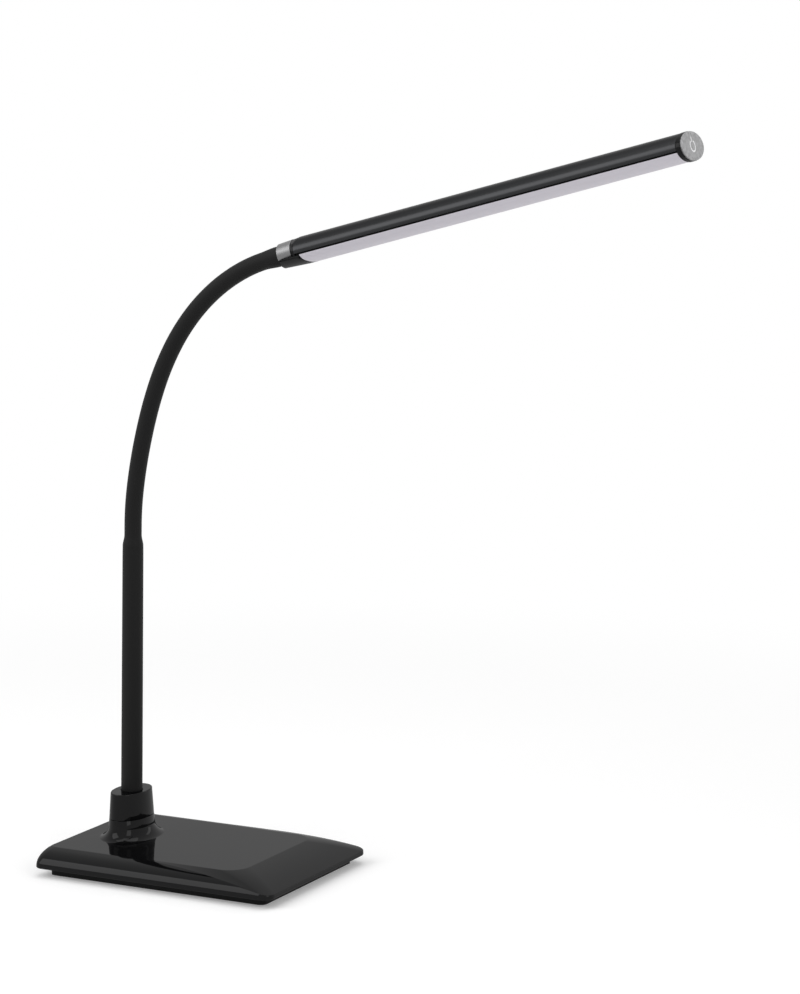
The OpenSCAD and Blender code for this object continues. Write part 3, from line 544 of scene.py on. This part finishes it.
def shade_strip_in_seam(side, lap=0.3, start_gap=1, end_gap=0.3):
    """Strip of painted shade at the bottom of the seam between housing and diffuser, on one side:
    its dark colour stands in for the shadow in the groove.
    """
    def edge(inset, x):
        return side * (BAR_W - inset) * math.sqrt(1 - (x / (BAR_H - inset)) ** 2)
    ends = SPLIT_X - SEAM_UP - lap, SPLIT_X + SEAM_DOWN
    profile = [(x, edge(SEAM, x)) for x in ends] + [(x, edge(3 * SEAM, x)) for x in ends[::-1]]
    return loft([[bar_point(x, y, z) for x, y in profile]
                 for z in (HOUSING_Z + start_gap, HOUSING_END - end_gap)])


def shell_half(grow, wall, from_x, below):
    """Closed outline of one side of the bar's hollow oval, whose outside is grown by that much."""
    outer = arc(BAR_H + grow, BAR_W + grow, from_x, below)
    return outer + arc(BAR_H - wall, BAR_W - wall, from_x, below)[::-1]


def edge_sections(inset, z0, profile):
    """Sections of the bezel's oval less an inset, from (further inset, place past z0) pairs."""
    hx, hy = BAR_H + BEZEL_PROUD - inset, BAR_W + BEZEL_PROUD - inset
    return [(hx - step, hy - step, z0 + z) for step, z in profile]


# inset and place of each section, for edge_sections
BEZEL_BACK = ((2.5, 0), (0.4, 0), (0.1, 0.12), (0, 0.4))
BEZEL_FRONT = ((0, -0.3), (0.06, -0.1), (0.2, 0), (2.5, 0))
PLATE_PROFILE = ((0, -PLATE_T), (0, -0.25), (0.07, -0.07), (0.25, 0))


def strip(path, width):
    """Flat raised line of that width along points of the plate's face."""
    low, high = FACE_Z - SYMBOL_SINK, FACE_Z + SYMBOL_RISE
    rings = []
    for i, (x, y) in enumerate(path):
        (ax, ay), (bx, by) = path[max(i - 1, 0)], path[min(i + 1, len(path) - 1)]
        run = math.hypot(bx - ax, by - ay)
        nx, ny = (ay - by) / run * width / 2, (bx - ax) / run * width / 2
        rings.append([bar_point(x + k * nx, y + k * ny, z)
                      for k, z in ((-1, low), (1, low), (1, high), (-1, high))])
    return loft(rings)


def symbol_lines():
    """Open ring and the short bar in its opening."""
    turns = [math.radians(180 + SYMBOL_OPEN + (360 - 2 * SYMBOL_OPEN) * k / SYMBOL_STEPS)
             for k in range(SYMBOL_STEPS + 1)]
    ring_path = [(SYMBOL_R * math.cos(t), SYMBOL_R * math.sin(t)) for t in turns]
    return merged(strip(ring_path, SYMBOL_LINE), strip([(x, 0) for x in SYMBOL_BAR], SYMBOL_LINE))


ring, cap = ring_skin(), cap_skin()
# dark strips painted into the seam's groove as its shade, on both sides
seam = piece("painted_shade_strips", *merged(shade_strip_in_seam(1), shade_strip_in_seam(-1)), painted_seam_shade, smooth=False)
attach(seam, "head")
housing = bar_extrusion("housing_skin", shell_half(0, BAR_WALL, SPLIT_X - SEAM_UP, False),
                        HOUSING_Z, HOUSING_END, gunmetal, 0.35)
lens = bar_extrusion("diffuser_skin", shell_half(-LENS_IN, LENS_WALL, SPLIT_X + SEAM_DOWN, True),
                     LENS_Z + JOINT, HOUSING_END - JOINT, diffuser_frost, 0.3, start=lens_start)
bezel = bar_skin("bezel_skin",
                 edge_sections(0, BEZEL_Z, BEZEL_BACK) + edge_sections(0, PLATE_Z, BEZEL_FRONT),
                 cap_black, start=False, end=False)
plate = bar_skin("touch_plate_skin", edge_sections(PLATE_IN, FACE_Z, PLATE_PROFILE), touch_silver)
symbol = piece("symbol_lines", *symbol_lines(), symbol_pale, smooth=False)
for obj, node in ((symbol, "power_symbol"), (ring, "head_ring"), (cap, "rear_cap"),
                  (housing, "head_housing"), (lens, "diffuser"), (bezel, "end_bezel"),
                  (plate, "touch_plate")):
    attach(obj, "head")
    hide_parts(node)
for obj in (bezel, plate):
    obj.modifiers.new("normals", "WEIGHTED_NORMAL")


# ---- floor, light and camera ------------------------------------------------------------------
FLOOR_HALF, FLOOR_COLOUR, FLOOR_GLOW = 6000, (0.86, 0.86, 0.86, 1), 0.22
FADE_FROM, FADE_TO = 0.45, 1.1           # metres from the lamp where the floor turns white
WORLD_LEVEL = 0.45                       # plain level of the room's light on the object


def white_floor():
    """Pale floor that keeps the shadow near the lamp and turns plain white further out."""
    mat = bpy.data.materials.new("floor")
    mat.use_nodes = True
    tree = mat.node_tree
    tree.nodes.clear()
    out = tree.nodes.new("ShaderNodeOutputMaterial")
    matte = tree.nodes.new("ShaderNodeBsdfDiffuse")
    matte.inputs["Color"].default_value = FLOOR_COLOUR
    glow = tree.nodes.new("ShaderNodeEmission")
    glow.inputs["Strength"].default_value = FLOOR_GLOW
    white = tree.nodes.new("ShaderNodeEmission")
    both, near_far = tree.nodes.new("ShaderNodeAddShader"), tree.nodes.new("ShaderNodeMixShader")
    seen, path = tree.nodes.new("ShaderNodeMixShader"), tree.nodes.new("ShaderNodeLightPath")
    coords, reach = tree.nodes.new("ShaderNodeTexCoord"), tree.nodes.new("ShaderNodeVectorMath")
    reach.operation = "LENGTH"
    fade = tree.nodes.new("ShaderNodeMapRange")
    fade.interpolation_type = "SMOOTHSTEP"
    fade.inputs["From Min"].default_value = FADE_FROM
    fade.inputs["From Max"].default_value = FADE_TO
    shown = tree.nodes.new("ShaderNodeMath")
    shown.operation = "MAXIMUM"
    link = tree.links.new
    link(coords.outputs["Object"], reach.inputs[0])
    link(reach.outputs["Value"], fade.inputs["Value"])
    link(matte.outputs["BSDF"], both.inputs[0])
    link(glow.outputs["Emission"], both.inputs[1])
    link(fade.outputs["Result"], near_far.inputs["Fac"])
    link(both.outputs["Shader"], near_far.inputs[1])
    link(white.outputs["Emission"], near_far.inputs[2])
    link(path.outputs["Is Camera Ray"], shown.inputs[0])
    link(path.outputs["Is Glossy Ray"], shown.inputs[1])
    link(shown.outputs["Value"], seen.inputs["Fac"])
    link(matte.outputs["BSDF"], seen.inputs[1])
    link(near_far.outputs["Shader"], seen.inputs[2])
    link(seen.outputs["Shader"], out.inputs["Surface"])
    return mat


def white_room():
    """World that is plain white to the camera, in reflections and through clear pieces."""
    world = bpy.data.worlds.new("room")
    world.use_nodes = True
    tree = world.node_tree
    background = tree.nodes["Background"]
    background.inputs["Color"].default_value = (1, 1, 1, 1)
    path, level = tree.nodes.new("ShaderNodeLightPath"), tree.nodes.new("ShaderNodeMapRange")
    level.inputs["To Min"].default_value, level.inputs["To Max"].default_value = WORLD_LEVEL, 1.0
    seen, clear = tree.nodes.new("ShaderNodeMath"), tree.nodes.new("ShaderNodeMath")
    seen.operation = clear.operation = "MAXIMUM"
    link = tree.links.new
    link(path.outputs["Is Camera Ray"], seen.inputs[0])
    link(path.outputs["Is Glossy Ray"], seen.inputs[1])
    link(seen.outputs["Value"], clear.inputs[0])
    link(path.outputs["Is Transmission Ray"], clear.inputs[1])
    link(clear.outputs["Value"], level.inputs["Value"])
    link(level.outputs["Result"], background.inputs["Strength"])
    return world


floor = piece("floor", [(FLOOR_HALF * x, FLOOR_HALF * y, 0)
                        for x, y in ((-1, -1), (1, -1), (1, 1), (-1, 1))],
              [(0, 1, 2, 3)], white_floor(), smooth=False)
bpy.context.scene.world = white_room()


def softbox(name, place, aim, width, height, power):
    """Rectangular lamp, with places and sizes in metres and its power in watts."""
    light = bpy.data.lights.new(name, "AREA")
    light.shape, light.size, light.size_y, light.energy = "RECTANGLE", width, height, power
    obj = bpy.data.objects.new(name, light)
    obj.location = place
    obj.rotation_euler = (Vector(aim) - Vector(place)).to_track_quat("-Z", "Y").to_euler()
    bpy.context.scene.collection.objects.link(obj)
    return obj


softbox("key", (-1.3, -1.6, 1.7), (0, 0, 0.25), 1.9, 1.9, 28)
softbox("fill", (1.9, -0.9, 0.9), (0, 0, 0.3), 0.8, 2.0, 9)
softbox("top", (0.1, 0.3, 2.1), (0, 0, 0.2), 1.6, 1.6, 12)
softbox("edge", (1.05, 1.7, 0.7), (-0.06, 0, 0.1), 0.35, 1.4, 2)

CAMERA_PLACE = (1.237774, -2.072403, 0.656886)
CAMERA_AZIMUTH, CAMERA_PITCH = 27.41, 9.0
FOCAL_PX, LONG_SIDE_PX, SENSOR_MM = 3400, 994, 36
camera = bpy.data.objects.new("camera", bpy.data.cameras.new("camera"))
camera.data.lens = FOCAL_PX / LONG_SIDE_PX * SENSOR_MM
camera.data.sensor_width = SENSOR_MM
camera.location = CAMERA_PLACE
camera.rotation_euler = (math.radians(90 - CAMERA_PITCH), 0, math.radians(CAMERA_AZIMUTH))
bpy.context.scene.collection.objects.link(camera)
bpy.context.scene.camera = camera
bpy.context.scene.view_settings.view_transform = "Standard"
